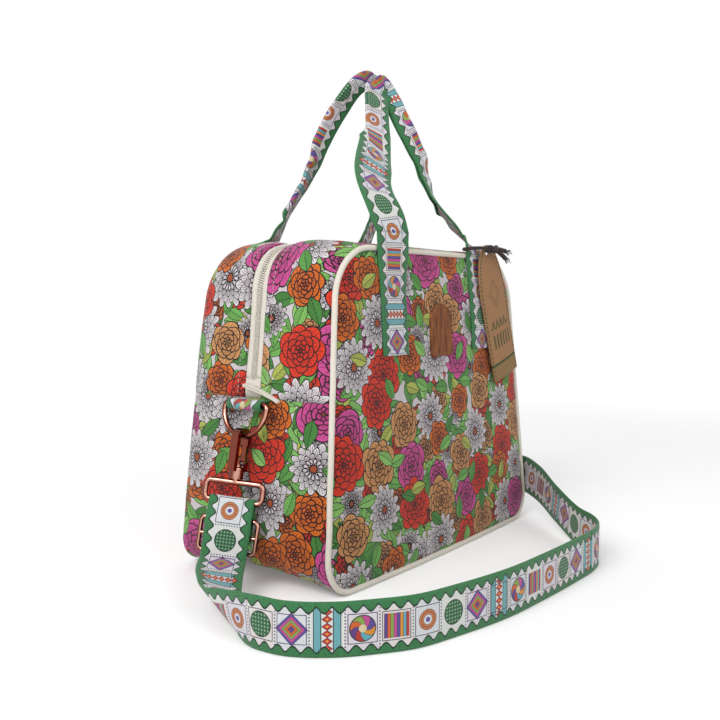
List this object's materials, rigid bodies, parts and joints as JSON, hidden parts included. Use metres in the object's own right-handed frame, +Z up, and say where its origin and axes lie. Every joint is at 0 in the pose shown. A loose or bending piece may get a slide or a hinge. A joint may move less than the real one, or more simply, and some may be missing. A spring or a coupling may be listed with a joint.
{
  "type": "insulated lunch tote",
  "caption": "Soft insulated lunch tote with piped panels, zip top, webbing carry handles, leather patch, hang tag and clip-on shoulder strap.",
  "frame": {"origin": "middle of the base, on the surface the bag stands on", "axes": "+Z up, front panel faces -Y, +X to the right seen from the front"},
  "size_m": [0.4071, 0.2574, 0.3884],
  "materials": {
    "printed_canvas": "printed canvas with a dense flower pattern",
    "foam": "closed-cell insulating foam",
    "lining": "wipe-clean lining, silvery",
    "piping": "cream bias-covered piping",
    "zip_tape": "cream woven tape",
    "zip_coil": "cream nylon coil",
    "webbing": "ribbed webbing, green borders and a light patterned middle",
    "leather": "tan leather, plain",
    "card": "kraft card",
    "cord": "dark twisted cord",
    "spring_steel": "spring wire",
    "rose_gold_metal": "polished rose-gold plating"
  },
  "bodies": {
    "bag": {"lower_gusset": "printed_canvas", "lower_gusset_foam": "foam", "lower_gusset_lining": "lining", "front_panel_lower": "printed_canvas", "front_foam_lower": "foam", "front_lining_lower": "lining", "front_piping_lower": "piping", "rear_panel_lower": "printed_canvas", "rear_foam_lower": "foam", "rear_lining_lower": "lining", "rear_piping_lower": "piping", "left_ring_tab": "webbing", "right_ring_tab": "webbing", "left_zip_end": "zip_tape", "right_zip_end": "zip_tape", "shoulder_strap": "webbing"},
    "front_flap": {"front_panel_upper": "printed_canvas", "front_foam_upper": "foam", "front_lining_upper": "lining", "front_piping_upper": "piping", "front_zip_strip": "printed_canvas", "front_zip_foam": "foam", "front_zip_lining": "lining", "front_zip_tape": "zip_tape", "front_zip_coil": "zip_coil", "front_handle_left_end": "webbing", "front_handle_right_end": "webbing", "leather_patch": "leather", "tag_cord": "cord", "tag_knot": "cord"},
    "rear_flap": {"rear_panel_upper": "printed_canvas", "rear_foam_upper": "foam", "rear_lining_upper": "lining", "rear_piping_upper": "piping", "rear_zip_strip": "printed_canvas", "rear_zip_foam": "foam", "rear_zip_lining": "lining", "rear_zip_tape": "zip_tape", "rear_zip_coil": "zip_coil", "rear_handle_left_end": "webbing", "rear_handle_right_end": "webbing"},
    "front_handle": {"front_handle_loop": "webbing"},
    "rear_handle": {"rear_handle_loop": "webbing"},
    "zip_slider": {"zip_slider": "rose_gold_metal"},
    "zip_pull": {"zip_pull": "rose_gold_metal"},
    "hang_tag": {"hang_tag": "card"},
    "left_ring": {"left_d_ring": "rose_gold_metal", "left_swivel_eye": "rose_gold_metal", "left_strap_loop": "webbing", "strap_adjuster": "rose_gold_metal"},
    "left_hook": {"left_hook_body": "rose_gold_metal", "left_gate_spring": "spring_steel"},
    "left_gate": {"left_hook_gate": "rose_gold_metal"},
    "right_ring": {"right_d_ring": "rose_gold_metal", "right_swivel_eye": "rose_gold_metal", "right_strap_loop": "webbing"},
    "right_hook": {"right_hook_body": "rose_gold_metal", "right_gate_spring": "spring_steel"},
    "right_gate": {"right_hook_gate": "rose_gold_metal"}
  },
  "joints": [
    {"name": "front_flap_fold", "type": "hinge", "parent": "bag", "child": "front_flap", "pos_m": [0, -0.066, 0.131], "axis": [1, 0, 0], "range_deg": [0, 35]},
    {"name": "rear_flap_fold", "type": "hinge", "parent": "bag", "child": "rear_flap", "pos_m": [0, 0.066, 0.131], "axis": [-1, 0, 0], "range_deg": [0, 35]},
    {"name": "front_handle_swing", "type": "hinge", "parent": "front_flap", "child": "front_handle", "pos_m": [0, -0.06229, 0.24907], "axis": [1, 0, 0], "range_deg": [0, 105]},
    {"name": "rear_handle_swing", "type": "hinge", "parent": "rear_flap", "child": "rear_handle", "pos_m": [0, 0.06229, 0.24907], "axis": [-1, 0, 0], "range_deg": [0, 105]},
    {"name": "zip_slide", "type": "slide", "parent": "bag", "child": "zip_slider", "axis": [-0.1016, 0, 0.9948], "range_m": [0, 0.032]},
    {"name": "zip_pull_swing", "type": "hinge", "parent": "zip_slider", "child": "zip_pull", "pos_m": [0.13739, 0, 0.16088], "axis": [0, -1, 0], "range_deg": [0, 130]},
    {"name": "hang_tag_swing", "type": "hinge", "parent": "front_flap", "child": "hang_tag", "pos_m": [0.072, -0.06751, 0.2433], "axis": [-1, 0, 0], "range_deg": [0, 20]},
    {"name": "left_ring_swing", "type": "hinge", "parent": "bag", "child": "left_ring", "pos_m": [-0.15045, 0, 0.12854], "axis": [0, 1, 0], "range_deg": [0, 15]},
    {"name": "left_hook_swivel", "type": "hinge", "parent": "left_ring", "child": "left_hook", "pos_m": [-0.15045, 0, 0.12854], "axis": [0.2079, 0, 0.9781], "range_deg": [-16, 16]},
    {"name": "left_gate_open", "type": "hinge", "parent": "left_hook", "child": "left_gate", "pos_m": [-0.15412, 0, 0.08649], "axis": [0, -1, 0], "range_deg": [0, 22], "stiffness_Nm_per_rad": 0.02, "springref_deg": -17.19},
    {"name": "right_ring_swing", "type": "hinge", "parent": "bag", "child": "right_ring", "pos_m": [0.15045, 0, 0.12854], "axis": [0, -1, 0], "range_deg": [0, 15]},
    {"name": "right_hook_swivel", "type": "hinge", "parent": "right_ring", "child": "right_hook", "pos_m": [0.15045, 0, 0.12854], "axis": [-0.2079, 0, 0.9781], "range_deg": [-16, 16]},
    {"name": "right_gate_open", "type": "hinge", "parent": "right_hook", "child": "right_gate", "pos_m": [0.15412, 0, 0.08649], "axis": [0, 1, 0], "range_deg": [0, 22], "stiffness_Nm_per_rad": 0.02, "springref_deg": -17.19}
  ]
}
